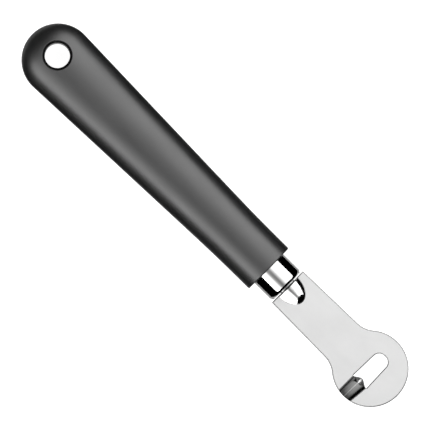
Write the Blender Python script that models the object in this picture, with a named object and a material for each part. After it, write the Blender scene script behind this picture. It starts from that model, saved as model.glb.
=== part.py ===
"""Channel knife: a moulded handle, a drawn ferrule, a round shank and a stamped blade with a groove cutter.

Frame: +X runs from the handle's round end to the tip of the blade's head, and +Z points up out of the
blade's face. The origin is below the middle of the tool, on the surface that the handle lies on.
Lengths are in metres.
"""

import math

import bmesh
import bpy

MM = 0.001
CLEARANCE = 0.3 * MM
SHARP_EDGE = math.radians(35.0)

# The whole tool
LENGTH = 165.0 * MM
REAR_X = -LENGTH / 2
TIP_X = LENGTH / 2
AXIS_Z = 7.5 * MM

# Handle
HANDLE_HALF_HEIGHT = AXIS_Z
HANDLE_END_RADIUS = 11.8 * MM
HANDLE_END_X = REAR_X + HANDLE_END_RADIUS
HANDLE_FRONT_X = 24.2 * MM
HANDLE_FRONT_HALF_WIDTH = 9.07 * MM
HANDLE_TAPER = 0.0335
HANDLE_LEVEL_X = 10.5 * MM
HANDLE_LEVEL_BLEND = 6.0 * MM
HANDLE_OVAL_POWER = 2.15
HANDLE_FRONT_EDGE = 0.8 * MM
HANDLE_SEGMENTS = 64
HANDLE_END_STEPS = 10
HANDLE_BODY_STEPS = 12
HANDLE_EDGE_STEPS = 3
HANG_HOLE_X = -71.8 * MM
HANG_HOLE_Y = 0.75 * MM
HANG_HOLE_RADIUS = 4.05 * MM
HANG_HOLE_CHAMFER = 0.75 * MM
HANG_HOLE_SEGMENTS = 40

# Ferrule, pressed over a spigot on the front of the handle
FERRULE_RADIUS = 6.55 * MM
FERRULE_WALL = 1.0 * MM
FERRULE_REAR_X = HANDLE_FRONT_X + CLEARANCE
FERRULE_FRONT_X = 32.5 * MM
FERRULE_RIM_RADIUS = 1.1 * MM
FERRULE_RIM_STEPS = 6
FERRULE_SEGMENTS = 56
SPIGOT_RADIUS = FERRULE_RADIUS - FERRULE_WALL - CLEARANCE
SPIGOT_FRONT_X = FERRULE_FRONT_X - FERRULE_WALL - CLEARANCE

# Shank, from the bore in the handle to the pocket in the blade. Its front end is forged flatter.
SHANK_RADIUS = 3.0 * MM
SHANK_NOSE_RISE = 1.45 * MM
SHANK_FORGED_X = 26.0 * MM
SHANK_FORGED_STEPS = 8
SHANK_REAR_X = -19.5 * MM
SHANK_REAR_CHAMFER = 0.5 * MM
SHANK_NOSE_STEPS = 8
NOSE_SEGMENTS = 40
BORE_RADIUS = SHANK_RADIUS + CLEARANCE
BORE_REAR_X = SHANK_REAR_X - CLEARANCE

# Blade
SHEET = 1.2 * MM
SHEET_TOP_Z = AXIS_Z + SHEET / 2
SHEET_BOTTOM_Z = AXIS_Z - SHEET / 2
BLADE_REAR_X = FERRULE_FRONT_X + CLEARANCE
NECK_REAR_HALF_WIDTH = 7.1 * MM
NECK_FRONT_HALF_WIDTH = 7.5 * MM
NECK_FRONT_X = 57.0 * MM
NECK_FILLET_RADIUS = 8.5 * MM
NECK_FILLET_STEPS = 10
HEAD_RADIUS = 12.3 * MM
HEAD_X = TIP_X - HEAD_RADIUS
HEAD_SEGMENTS = 72

# Slot across the head
SLOT_X = 70.75 * MM
SLOT_END_Y = 6.2 * MM
SLOT_END_HALF_WIDTH = 2.6 * MM
SLOT_LIP_HALF_WIDTH = 2.95 * MM
SLOT_CORNER_RADIUS = 1.8 * MM
SLOT_CORNER_STEPS = 6

# Gouge, a V with a rounded bottom, from the slot to the rim of the head
GOUGE_LIP_X = 70.65 * MM
GOUGE_RIM_X = 70.35 * MM
GOUGE_LIP_HALF_WIDTH = 2.9 * MM
GOUGE_RIM_HALF_WIDTH = 2.6 * MM
GOUGE_FLANK = math.radians(45.0)
GOUGE_BOTTOM_RADIUS = 0.5 * MM
GOUGE_WALL = 0.8 * MM
GOUGE_LIP_Y = -5.36 * MM
GOUGE_LIP_RAKE = math.radians(33.0)
GOUGE_BEVEL_LEAN = math.radians(25.0)
GOUGE_EDGE_LAND = 0.1 * MM
GOUGE_ARC_STEPS = 8

# Pocket, pressed up out of the neck over the shank's nose
POCKET_WALL = 1.15 * MM
POCKET_INNER_RADIUS = SHANK_RADIUS + CLEARANCE
POCKET_INNER_RISE = SHANK_NOSE_RISE + CLEARANCE
POCKET_INNER_LENGTH = 5.55 * MM
POCKET_BODY_STEPS = 10
POCKET_HOLLOW_STEPS = 8

# How far a cutter reaches past what it cuts
REACH = 2.0 * MM


# Meshes

def skin_rings(rings, start_pole=None, end_pole=None, looped=False):
    """A closed mesh through rings of the same number of points, ended by a point or by a flat cap."""
    mesh = bmesh.new()
    loops = [[mesh.verts.new(point) for point in ring] for ring in rings]
    pairs = list(zip(loops, loops[1:]))
    if looped:
        pairs.append((loops[-1], loops[0]))
    for low, high in pairs:
        count = len(low)
        for k in range(count):
            after = (k + 1) % count
            mesh.faces.new((low[k], low[after], high[after], high[k]))
    if not looped:
        close_end(mesh, loops[0], start_pole)
        close_end(mesh, loops[-1], end_pole)
    bmesh.ops.recalc_face_normals(mesh, faces=mesh.faces)
    return mesh


def close_end(mesh, loop, pole):
    """Closes a loop with one flat face, or with triangles that meet at the pole."""
    if pole is None:
        mesh.faces.new(loop)
        return
    centre = mesh.verts.new(pole)
    for k in range(len(loop)):
        mesh.faces.new((loop[k], loop[(k + 1) % len(loop)], centre))


def prism(outline, low_z, high_z):
    """A solid with an outline in X and Y, between two heights."""
    return skin_rings([[(x, y, z) for x, y in outline] for z in (low_z, high_z)])


def ellipse_ring(x, half_width, rise, segments):
    """A ring of points on an ellipse round the tool's axis."""
    turns = [2 * math.pi * k / segments for k in range(segments)]
    return [(x, half_width * math.cos(t), AXIS_Z + rise * math.sin(t)) for t in turns]


def circle_ring(x, radius, segments):
    """A ring of points on a circle round the tool's axis."""
    return ellipse_ring(x, radius, radius, segments)


def nose_rings(length, half_width, rise, steps):
    """Rings round the axis, from the blade's rear edge to near the front point of a rounded nose."""
    rings = []
    for k in range(steps):
        turn = math.pi / 2 * k / steps
        x = BLADE_REAR_X + length * math.sin(turn)
        shrink = math.cos(turn)
        rings.append(ellipse_ring(x, half_width * shrink, rise * shrink, NOSE_SEGMENTS))
    return rings


def arc(centre_x, centre_y, radius, start, end, steps):
    """Points along a circular arc in X and Y, both ends included. Angles are in degrees."""
    angles = [math.radians(start + (end - start) * k / steps) for k in range(steps + 1)]
    return [(centre_x + radius * math.cos(a), centre_y + radius * math.sin(a)) for a in angles]


def signed_power(value, exponent):
    """The value's size raised to the exponent, with the value's sign."""
    return math.copysign(abs(value) ** exponent, value)


# Objects

def add_object(name, mesh, material=None):
    """Makes an object of the mesh, shaded smooth except over its sharp edges."""
    data = bpy.data.meshes.new(name)
    mesh.to_mesh(data)
    mesh.free()
    data.shade_smooth()
    data.set_sharp_from_angle(angle=SHARP_EDGE)
    if material is not None:
        data.materials.append(material)
    thing = bpy.data.objects.new(name, data)
    bpy.context.scene.collection.objects.link(thing)
    return thing


def add_boolean(target, operation, name, mesh):
    """Joins, cuts or trims the target with a hidden tool made of the mesh."""
    tool = add_object(name, mesh)
    tool.hide_render = True
    tool.display_type = "WIRE"
    modifier = target.modifiers.new(name, "BOOLEAN")
    modifier.operation = operation
    modifier.solver = "EXACT"
    modifier.object = tool


def make_material(name, color, roughness, metallic):
    """A Principled material of one colour."""
    material = bpy.data.materials.new(name)
    material.use_nodes = True
    shader = material.node_tree.nodes["Principled BSDF"]
    shader.inputs["Base Color"].default_value = (*color, 1.0)
    shader.inputs["Roughness"].default_value = roughness
    shader.inputs["Metallic"].default_value = metallic
    return material


# Handle

def handle_half_width(x):
    """Half the handle's width ahead of its round end: a taper that levels out towards the front."""
    run = HANDLE_LEVEL_X - x
    return HANDLE_FRONT_HALF_WIDTH + HANDLE_TAPER * (run + math.hypot(run, HANDLE_LEVEL_BLEND)) / 2


def handle_size(x):
    """Half the handle's width and half its height at x, round end included."""
    width = handle_half_width(max(x, HANDLE_END_X))
    past_end = max(0.0, HANDLE_END_X - x) / HANDLE_END_RADIUS
    shrink = math.sqrt(max(0.0, 1.0 - past_end ** 2))
    return width * shrink, HANDLE_HALF_HEIGHT * shrink


def handle_rise(x, y):
    """Height of the handle's upper surface above the axis."""
    half_width, half_height = handle_size(x)
    inside = 1.0 - abs(y / half_width) ** HANDLE_OVAL_POWER
    return half_height * inside ** (1 / HANDLE_OVAL_POWER)


def oval_ring(x, half_width, half_height):
    """A ring of points on the handle's oval section."""
    ring = []
    for k in range(HANDLE_SEGMENTS):
        turn = 2 * math.pi * k / HANDLE_SEGMENTS
        across = signed_power(math.cos(turn), 2 / HANDLE_OVAL_POWER)
        up = signed_power(math.sin(turn), 2 / HANDLE_OVAL_POWER)
        ring.append((x, half_width * across, AXIS_Z + half_height * up))
    return ring


def handle_body_mesh():
    """Round end, tapered oval body, rounded front edge, spigot and blind bore, in one skin."""
    rings = []
    for k in range(1, HANDLE_END_STEPS):
        x = HANDLE_END_X - HANDLE_END_RADIUS * math.cos(math.pi / 2 * k / HANDLE_END_STEPS)
        rings.append(oval_ring(x, *handle_size(x)))
    edge_x = HANDLE_FRONT_X - HANDLE_FRONT_EDGE
    for k in range(HANDLE_BODY_STEPS + 1):
        x = HANDLE_END_X + (edge_x - HANDLE_END_X) * k / HANDLE_BODY_STEPS
        rings.append(oval_ring(x, *handle_size(x)))
    for k in range(1, HANDLE_EDGE_STEPS + 1):
        turn = math.pi / 2 * k / HANDLE_EDGE_STEPS
        inset = HANDLE_FRONT_EDGE * (1 - math.cos(turn))
        half_width, half_height = handle_size(edge_x)
        x = edge_x + HANDLE_FRONT_EDGE * math.sin(turn)
        rings.append(oval_ring(x, half_width - inset, half_height - inset))
    for x, radius in (
        (HANDLE_FRONT_X, SPIGOT_RADIUS),
        (SPIGOT_FRONT_X, SPIGOT_RADIUS),
        (SPIGOT_FRONT_X, BORE_RADIUS),
        (BORE_REAR_X, BORE_RADIUS),
    ):
        rings.append(circle_ring(x, radius, HANDLE_SEGMENTS))
    return skin_rings(rings, start_pole=(REAR_X, 0.0, AXIS_Z))


def hang_hole_mesh():
    """Cutter for the hanging hole, with a chamfer that follows the handle's crown at both mouths."""
    flare = 0.5 * MM
    wide = HANG_HOLE_RADIUS + HANG_HOLE_CHAMFER + flare
    rings = []
    for side, radius, offset in (
        (1, wide, flare),
        (1, HANG_HOLE_RADIUS, -HANG_HOLE_CHAMFER),
        (-1, HANG_HOLE_RADIUS, -HANG_HOLE_CHAMFER),
        (-1, wide, flare),
    ):
        ring = []
        for x, y in arc(HANG_HOLE_X, HANG_HOLE_Y, radius, 0, 360, HANG_HOLE_SEGMENTS)[:-1]:
            ring.append((x, y, AXIS_Z + side * (handle_rise(x, y) + offset)))
        rings.append(ring)
    pole_rise = HANDLE_HALF_HEIGHT + REACH
    return skin_rings(
        rings,
        start_pole=(HANG_HOLE_X, HANG_HOLE_Y, AXIS_Z + pole_rise),
        end_pole=(HANG_HOLE_X, HANG_HOLE_Y, AXIS_Z - pole_rise),
    )


def build_handle():
    polymer = make_material("black_polypropylene", (0.035, 0.035, 0.036), 0.42, 0.0)
    handle = add_object("handle", handle_body_mesh(), polymer)
    add_boolean(handle, "DIFFERENCE", "hang_hole_cutter", hang_hole_mesh())


# Ferrule and shank

def build_ferrule():
    """A drawn cup: a thin wall over the spigot, a rounded front rim and a hole for the shank."""
    steel = make_material("polished_steel", (0.78, 0.78, 0.77), 0.06, 1.0)
    rim_x = FERRULE_FRONT_X - FERRULE_RIM_RADIUS
    rim_radius = FERRULE_RADIUS - FERRULE_RIM_RADIUS
    profile = [(FERRULE_REAR_X, FERRULE_RADIUS)]
    for along, out in arc(rim_x, rim_radius, FERRULE_RIM_RADIUS, 90, 0, FERRULE_RIM_STEPS):
        profile.append((along, out))
    profile += [
        (FERRULE_FRONT_X, BORE_RADIUS),
        (FERRULE_FRONT_X - FERRULE_WALL, BORE_RADIUS),
        (FERRULE_FRONT_X - FERRULE_WALL, FERRULE_RADIUS - FERRULE_WALL),
        (FERRULE_REAR_X, FERRULE_RADIUS - FERRULE_WALL),
    ]
    rings = [circle_ring(x, radius, FERRULE_SEGMENTS) for x, radius in profile]
    add_object("ferrule", skin_rings(rings, looped=True), steel)


def shank_rise(x):
    """Half the shank's height at x: round behind, eased down to the forged nose."""
    share = (x - SHANK_FORGED_X) / (FERRULE_FRONT_X - CLEARANCE - SHANK_FORGED_X)
    eased = share * share * (3 - 2 * share)
    return SHANK_RADIUS + (SHANK_NOSE_RISE - SHANK_RADIUS) * eased


def build_shank():
    """A round rod with a flatter nose, ground level with the blade's underside."""
    steel = make_material("drawn_steel", (0.60, 0.60, 0.60), 0.30, 1.0)
    nose_length = POCKET_INNER_LENGTH - CLEARANCE
    rings = [
        circle_ring(SHANK_REAR_X, SHANK_RADIUS - SHANK_REAR_CHAMFER, NOSE_SEGMENTS),
        circle_ring(SHANK_REAR_X + SHANK_REAR_CHAMFER, SHANK_RADIUS, NOSE_SEGMENTS),
    ]
    forged_length = FERRULE_FRONT_X - CLEARANCE - SHANK_FORGED_X
    for k in range(SHANK_FORGED_STEPS + 1):
        x = SHANK_FORGED_X + forged_length * k / SHANK_FORGED_STEPS
        rings.append(ellipse_ring(x, SHANK_RADIUS, shank_rise(x), NOSE_SEGMENTS))
    rings += nose_rings(nose_length, SHANK_RADIUS, SHANK_NOSE_RISE, SHANK_NOSE_STEPS)
    nose_tip = (BLADE_REAR_X + nose_length, 0.0, AXIS_Z)
    shank = add_object("shank", skin_rings(rings, end_pole=nose_tip), steel)
    flat_start = FERRULE_FRONT_X - CLEARANCE
    flat_end = nose_tip[0] + REACH
    side = SHANK_RADIUS + REACH
    outline = [(flat_start, -side), (flat_end, -side), (flat_end, side), (flat_start, side)]
    flat_cutter = prism(outline, AXIS_Z - side, SHEET_BOTTOM_Z)
    add_boolean(shank, "DIFFERENCE", "nose_flat_cutter", flat_cutter)


# Blade

def neck_fillet_centre():
    """Centre of the arc that runs from the neck's side into the head, and the neck side's angle."""
    slope = math.atan2(NECK_FRONT_HALF_WIDTH - NECK_REAR_HALF_WIDTH, NECK_FRONT_X - BLADE_REAR_X)
    reach = HEAD_RADIUS + NECK_FILLET_RADIUS
    side_y = NECK_REAR_HALF_WIDTH + (HEAD_X - BLADE_REAR_X) * math.tan(slope)
    from_side = side_y * math.cos(slope) + NECK_FILLET_RADIUS
    back = math.sqrt(reach ** 2 - from_side ** 2)
    x = HEAD_X - back * math.cos(slope) - from_side * math.sin(slope)
    y = from_side * math.cos(slope) - back * math.sin(slope)
    return x, y, math.degrees(slope)


def blade_outline():
    """The stamping's outline: neck, fillets and round head, symmetric about the axis."""
    fillet_x, fillet_y, slope = neck_fillet_centre()
    meeting = math.degrees(math.atan2(-fillet_y, HEAD_X - fillet_x))
    head_start = 180.0 + meeting
    upper = arc(fillet_x, fillet_y, NECK_FILLET_RADIUS, slope - 90, meeting, NECK_FILLET_STEPS)
    head = arc(HEAD_X, 0.0, HEAD_RADIUS, head_start, -head_start, HEAD_SEGMENTS)[1:-1]
    lower = [(x, -y) for x, y in reversed(upper)]
    rear = [(BLADE_REAR_X, -NECK_REAR_HALF_WIDTH), (BLADE_REAR_X, NECK_REAR_HALF_WIDTH)]
    return upper + head + lower + rear


def lip_y(z):
    """Where the gouge's raked end lies at a height: its deepest part reaches furthest into the slot."""
    return GOUGE_LIP_Y + (SHEET_BOTTOM_Z - z) * math.tan(GOUGE_LIP_RAKE)


def slot_mesh():
    """Cutter for the slot. Below the sheet, its far end leans just clear of the gouge's lip."""
    lean_gap = 0.1 * MM
    corner_y = SLOT_END_Y - SLOT_CORNER_RADIUS
    corner_x = SLOT_END_HALF_WIDTH - SLOT_CORNER_RADIUS
    closed_end = arc(SLOT_X + corner_x, corner_y, SLOT_CORNER_RADIUS, 0, 90, SLOT_CORNER_STEPS)
    closed_end += arc(SLOT_X - corner_x, corner_y, SLOT_CORNER_RADIUS, 90, 180, SLOT_CORNER_STEPS)
    rings = []
    for z, end_y in (
        (0.0, lip_y(0.0) + lean_gap),
        (SHEET_BOTTOM_Z, GOUGE_LIP_Y),
        (2 * AXIS_Z, GOUGE_LIP_Y),
    ):
        open_end = [(SLOT_X - SLOT_LIP_HALF_WIDTH, end_y), (SLOT_X + SLOT_LIP_HALF_WIDTH, end_y)]
        rings.append([(x, y, z) for x, y in closed_end + open_end])
    return skin_rings(rings)


def gouge_section(y, grow, top_z):
    """Closed V section of the gouge at y as points (x, z), grown outwards and cut off level at top_z.

    Ungrown, it is the gouge's inner surface: straight flanks from the sheet's face to a bottom arc.
    """
    share = (GOUGE_LIP_Y - y) / (HEAD_RADIUS + GOUGE_LIP_Y)
    centre_x = GOUGE_LIP_X + share * (GOUGE_RIM_X - GOUGE_LIP_X)
    half_width = GOUGE_LIP_HALF_WIDTH + share * (GOUGE_RIM_HALF_WIDTH - GOUGE_LIP_HALF_WIDTH)
    point_z = SHEET_TOP_Z - half_width * math.tan(GOUGE_FLANK)
    arc_z = point_z + GOUGE_BOTTOM_RADIUS / math.cos(GOUGE_FLANK)
    radius = GOUGE_BOTTOM_RADIUS + grow
    bottom = []
    for k in range(GOUGE_ARC_STEPS + 1):
        turn = GOUGE_FLANK * (1 - 2 * k / GOUGE_ARC_STEPS)
        bottom.append((centre_x + radius * math.sin(turn), arc_z - radius * math.cos(turn)))
    flank_run = (top_z - bottom[0][1]) / math.tan(GOUGE_FLANK)
    right_top = (bottom[0][0] + flank_run, top_z)
    left_top = (bottom[-1][0] - flank_run, top_z)
    return [right_top, *bottom, left_top]


def gouge_body_mesh():
    """The gouge's outside, solid, from its raked lip to past the rim."""
    rim_y = -HEAD_RADIUS - REACH
    rim = [(x, rim_y, z) for x, z in gouge_section(rim_y, GOUGE_WALL, AXIS_Z)]
    lip = [(x, lip_y(z), z) for x, z in gouge_section(GOUGE_LIP_Y, GOUGE_WALL, AXIS_Z)]
    return skin_rings([rim, lip])


def gouge_channel_mesh():
    """Cutter for the gouge's inside: open at the top, at the rim and into the slot."""
    past_lip = 0.3 * MM
    rings = []
    for y in (-HEAD_RADIUS - 2 * REACH, GOUGE_LIP_Y + past_lip):
        section = gouge_section(y, 0.0, SHEET_TOP_Z + REACH)
        rings.append([(x, y, z) for x, z in section])
    return skin_rings(rings)


def gouge_bevel_mesh():
    """Cutter for the ground bevel, which thins the wall to a narrow land at the lip."""
    overlap = 0.05 * MM
    top_z = SHEET_BOTTOM_Z + overlap
    lean = math.tan(GOUGE_BEVEL_LEAN)
    inside = gouge_section(GOUGE_LIP_Y, -overlap, top_z)
    outside = gouge_section(GOUGE_LIP_Y, GOUGE_WALL - GOUGE_EDGE_LAND, top_z)
    start = [(x, GOUGE_LIP_Y - overlap - (top_z - z) * lean, z) for x, z in inside]
    edge = [(x, lip_y(z), z) for x, z in outside]
    past = [(x, y + REACH, z) for x, y, z in edge]
    return skin_rings([start, edge, past])


def pocket_body_mesh():
    """The outside of the pocket: the upper half of an ellipsoid, standing on the sheet's middle."""
    length = POCKET_INNER_LENGTH + POCKET_WALL
    half_width = POCKET_INNER_RADIUS + POCKET_WALL
    rise = POCKET_INNER_RISE + POCKET_WALL
    rings = [ellipse_ring(BLADE_REAR_X - REACH, half_width, rise, NOSE_SEGMENTS)]
    rings += nose_rings(length, half_width, rise, POCKET_BODY_STEPS)
    upper = [ring[:NOSE_SEGMENTS // 2 + 1] for ring in rings]
    return skin_rings(upper, end_pole=(BLADE_REAR_X + length, 0.0, AXIS_Z))


def pocket_hollow_mesh():
    """Cutter for the space that the shank's nose fills, through to the blade's underside."""
    size = (POCKET_INNER_RADIUS, POCKET_INNER_RISE)
    rings = [ellipse_ring(BLADE_REAR_X - REACH, *size, NOSE_SEGMENTS)]
    rings += nose_rings(POCKET_INNER_LENGTH, *size, POCKET_HOLLOW_STEPS)
    return skin_rings(rings, end_pole=(BLADE_REAR_X + POCKET_INNER_LENGTH, 0.0, AXIS_Z))


def build_blade():
    steel = make_material("satin_steel", (0.72, 0.72, 0.71), 0.32, 1.0)
    half_width = HEAD_RADIUS + REACH
    rear = BLADE_REAR_X - REACH
    front = TIP_X + REACH
    sheet = [(rear, -half_width), (front, -half_width), (front, half_width), (rear, half_width)]
    blade = add_object("blade", prism(sheet, SHEET_BOTTOM_Z, SHEET_TOP_Z), steel)
    trim = prism(blade_outline(), -REACH, 2 * AXIS_Z + REACH)
    add_boolean(blade, "UNION", "gouge_body", gouge_body_mesh())
    add_boolean(blade, "UNION", "pocket_body", pocket_body_mesh())
    add_boolean(blade, "INTERSECT", "outline_trim", trim)
    add_boolean(blade, "DIFFERENCE", "slot_cutter", slot_mesh())
    add_boolean(blade, "DIFFERENCE", "gouge_channel_cutter", gouge_channel_mesh())
    add_boolean(blade, "DIFFERENCE", "gouge_bevel_cutter", gouge_bevel_mesh())
    add_boolean(blade, "DIFFERENCE", "pocket_hollow_cutter", pocket_hollow_mesh())


def clear_scene():
    for thing in list(bpy.data.objects):
        bpy.data.objects.remove(thing, do_unlink=True)


clear_scene()
build_handle()
build_ferrule()
build_shank()
build_blade()
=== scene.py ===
"""Looks of the channel knife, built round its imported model. Lengths are in metres, in the model's frame."""
import math

import bmesh
import bpy
from mathutils import Matrix, Vector


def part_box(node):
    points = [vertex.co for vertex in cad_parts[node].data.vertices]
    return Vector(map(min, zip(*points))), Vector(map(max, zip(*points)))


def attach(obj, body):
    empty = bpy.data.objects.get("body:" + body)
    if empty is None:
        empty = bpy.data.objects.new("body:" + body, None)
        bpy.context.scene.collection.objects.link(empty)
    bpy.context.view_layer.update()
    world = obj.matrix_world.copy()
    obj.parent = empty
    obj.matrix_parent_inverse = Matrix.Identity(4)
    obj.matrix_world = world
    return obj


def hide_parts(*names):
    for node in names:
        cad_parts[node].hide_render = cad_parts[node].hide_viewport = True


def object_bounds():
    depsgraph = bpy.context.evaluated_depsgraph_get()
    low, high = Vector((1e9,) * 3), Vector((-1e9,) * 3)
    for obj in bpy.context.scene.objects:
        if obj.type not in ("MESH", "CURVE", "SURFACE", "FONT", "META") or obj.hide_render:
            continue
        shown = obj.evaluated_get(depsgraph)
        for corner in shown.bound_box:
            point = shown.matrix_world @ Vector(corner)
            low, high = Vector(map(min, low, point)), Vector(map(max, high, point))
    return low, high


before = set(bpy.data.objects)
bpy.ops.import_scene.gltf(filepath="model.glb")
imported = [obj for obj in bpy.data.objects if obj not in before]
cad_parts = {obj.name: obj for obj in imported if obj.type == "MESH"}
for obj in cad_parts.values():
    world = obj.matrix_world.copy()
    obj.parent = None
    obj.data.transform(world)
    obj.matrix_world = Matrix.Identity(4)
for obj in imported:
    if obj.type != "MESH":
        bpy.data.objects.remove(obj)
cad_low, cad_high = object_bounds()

MM = 0.001

# Shading: edges over this angle stay sharp, and faces this close to level are shaded flat
SHARP_EDGE = math.radians(40.0)
LEVEL_NORMAL = 0.99999

# Rounded shapes named BENDS are arcs in a row, each a radius and the slope where it ends
BEND_STEPS = 8

# Cutters reach past what they cut, and start a rounding at a slight slope after a straight run
REACH = 2.0 * MM
MOUTH_START = math.radians(8.0)
MOUTH_RUN = 0.4 * MM

# Points this close to each other after the cuts are one point
WELD_DISTANCE = 0.001 * MM

# Places read from the model
HANDLE_LOW, HANDLE_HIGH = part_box("handle")
FERRULE_LOW, FERRULE_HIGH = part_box("ferrule")
SHANK_LOW, SHANK_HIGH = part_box("shank")
BLADE_LOW, BLADE_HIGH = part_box("blade")
MIDDLE = (cad_low + cad_high) / 2
REAR_X = HANDLE_LOW.x
TIP_X = BLADE_HIGH.x
AXIS_Z = (FERRULE_LOW.z + FERRULE_HIGH.z) / 2
CLEARANCE = 0.3 * MM
FERRULE_GAP = 0.06 * MM

# Handle
HANDLE_HALF_HEIGHT = AXIS_Z - HANDLE_LOW.z
HANDLE_END_RADIUS = HANDLE_HIGH.y
HANDLE_END_X = REAR_X + HANDLE_END_RADIUS
HANDLE_FRONT_X = FERRULE_LOW.x - FERRULE_GAP
HANDLE_FRONT_HALF_WIDTH = 9.07 * MM
HANDLE_TAPER = 0.0335
HANDLE_LEVEL_X = 10.5 * MM
HANDLE_LEVEL_BLEND = 6.0 * MM
HANDLE_OVAL_POWER = 2.15
HANDLE_FRONT_EDGE = 0.45 * MM
HANDLE_SEGMENTS = 160
HANDLE_END_STEPS = 40
HANDLE_BODY_STEPS = 130
HANDLE_EDGE_STEPS = 8
HANG_HOLE_X = -71.8 * MM
HANG_HOLE_Y = 0.75 * MM
HANG_HOLE_RADIUS = 4.05 * MM
HANG_HOLE_BENDS = (
    (0.3 * MM, math.radians(48.0)),
    (10.0 * MM, math.radians(54.0)),
    (0.1 * MM, math.radians(90.0)),
)
HANG_HOLE_SEGMENTS = 96

# Ferrule
FERRULE_RADIUS = FERRULE_HIGH.y
FERRULE_WALL = 1.0 * MM
FERRULE_RIM_BENDS = (
    (1.0 * MM, math.radians(25.0)),
    (2.3 * MM, math.radians(47.0)),
    (0.3 * MM, math.radians(90.0)),
)
FERRULE_REAR_RADIUS = 0.05 * MM
FERRULE_SEGMENTS = 180
SPIGOT_RADIUS = FERRULE_RADIUS - FERRULE_WALL - CLEARANCE
SPIGOT_FRONT_X = FERRULE_HIGH.x - FERRULE_WALL - CLEARANCE

# Shank
SHANK_RADIUS = SHANK_HIGH.y
SHANK_CHAMFER = 0.5 * MM
SHANK_NOSE_RISE = 1.45 * MM
SHANK_NOSE_STEPS = 16
SHANK_FORGED_X = 26.0 * MM
SHANK_FORGED_STEPS = 16
SHANK_SEGMENTS = 96
BORE_RADIUS = SHANK_RADIUS + CLEARANCE

# Blade
SHEET = 1.2 * MM
SHEET_TOP_Z = AXIS_Z + SHEET / 2
SHEET_BOTTOM_Z = AXIS_Z - SHEET / 2
BLADE_REAR_X = BLADE_LOW.x
SHEET_EDGE_RADIUS = 0.35 * MM
SHEET_EDGE_STEPS = 5
NECK_REAR_HALF_WIDTH = 7.1 * MM
NECK_FRONT_HALF_WIDTH = 7.5 * MM
NECK_FRONT_X = 57.0 * MM
NECK_FILLET_RADIUS = 8.5 * MM
NECK_FILLET_STEPS = 24
HEAD_RADIUS = BLADE_HIGH.y
HEAD_X = TIP_X - HEAD_RADIUS
HEAD_SEGMENTS = 160

# Slot
SLOT_X = 70.75 * MM
SLOT_END_Y = 6.2 * MM
SLOT_END_HALF_WIDTH = 2.66 * MM
SLOT_LIP_HALF_WIDTH = 2.95 * MM
SLOT_CORNER_RADIUS = 2.4 * MM
SLOT_CORNER_STEPS = 16
SLOT_LIP_GAP = 0.1 * MM

# Gouge
GOUGE_LIP_X = 70.65 * MM
GOUGE_RIM_X = 70.35 * MM
GOUGE_LIP_HALF_WIDTH = 2.6 * MM
GOUGE_RIM_HALF_WIDTH = 2.25 * MM
GOUGE_FLANK = math.radians(45.0)
GOUGE_BOTTOM_RADIUS = 0.3 * MM
GOUGE_REAR_BENDS = ((1.0 * MM, GOUGE_FLANK),)
GOUGE_FRONT_BENDS = ((0.7 * MM, math.radians(30.0)), (5.8 * MM, GOUGE_FLANK))
GOUGE_WALL = 0.8 * MM
GOUGE_LIP_Y = -5.36 * MM
GOUGE_LIP_RAKE = math.radians(33.0)
GOUGE_BEVEL_LEAN = math.radians(25.0)
GOUGE_BEVEL_OVERLAP = 0.05 * MM
GOUGE_EDGE_LAND = 0.1 * MM
GOUGE_RIM_ROUND = 0.2 * MM
GOUGE_ARC_STEPS = 16
SHOULDER_START = math.radians(4.0)
RUN_OUT_START_Y = -5.3 * MM
RUN_OUT_END_Y = -3.2 * MM
RUN_OUT_LIFT = 0.75 * MM
RUN_OUT_STEPS = 14
GOUGE_RIM_SETBACK = 0.035 * MM
GOUGE_RIM_SEGMENTS = 250

# Pocket
POCKET_HALF_WIDTH = 4.5 * MM
POCKET_LENGTH = 6.95 * MM
POCKET_HEIGHT = 1.95 * MM
POCKET_SIDE_POWER = 2.0
POCKET_FRONT_POWER = 3.0
POCKET_SOFT_FOOT = 0.5
POCKET_SOFT_FROM = 0.05
POCKET_SOFT_TO = 0.9
POCKET_RIDGE_Y = 0.35 * MM
POCKET_SINK = 0.01 * MM
POCKET_SETBACK = 0.035 * MM
POCKET_ROOT = 0.4 * MM
POCKET_BLEND_HEIGHT = 0.35 * MM
POCKET_INNER_LENGTH = 5.55 * MM
POCKET_INNER_RADIUS = 3.3 * MM
POCKET_INNER_RISE = 1.75 * MM
POCKET_LIP_RADIUS = 0.8 * MM
POCKET_LIP_STEPS = 8
POCKET_SEGMENTS = 80
POCKET_STEPS = 40

# Material slots: the handle's second, and all of the blade's
HOLE_WALL = 1
PLATE, CUT_EDGE, GROOVE, BEVEL, POCKET = range(5)

# Camera
CAMERA_TURN = math.radians(44.696)
CAMERA_TILT = math.radians(1.25)
CAMERA_LENS = 800.0
CAMERA_SENSOR = 36.0
CAMERA_CLIP = 3.0
FRAME_WIDTH = 138.03 * MM
AIM_OFFSET = Vector((0.06, 0.06, 0.0)) * MM

# Floor, and the white card that stands for it in the steel
FLOOR_REACH = 12.0
FLOOR_GLOW = 0.95
FLOOR_REFLECTANCE = 0.5
CARD_REACH = 110 * MM
CARD_HALF_WIDTH = 17 * MM
CARD_REFLECTANCE = 0.27
WORLD_STRENGTH = 1.0

# Light tent, open low down all round: the openings show as dark bands in the steel
TENT_RADIUS = 1.0
TENT_REAR = 0.78
TENT_FRONT = 1.05
TENT_STEPS = 48

# Dim gap in the tent's light: nearly overhead, a little to -Y and ahead of the tool's middle
GAP_TURN = math.radians(-10.5)
GAP_HALF_TURN = math.radians(26.0)
GAP_X = 0.35
GAP_INNER = 0.35
GAP_OUTER = 0.9
GAP_LEVEL = 0.26

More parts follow.
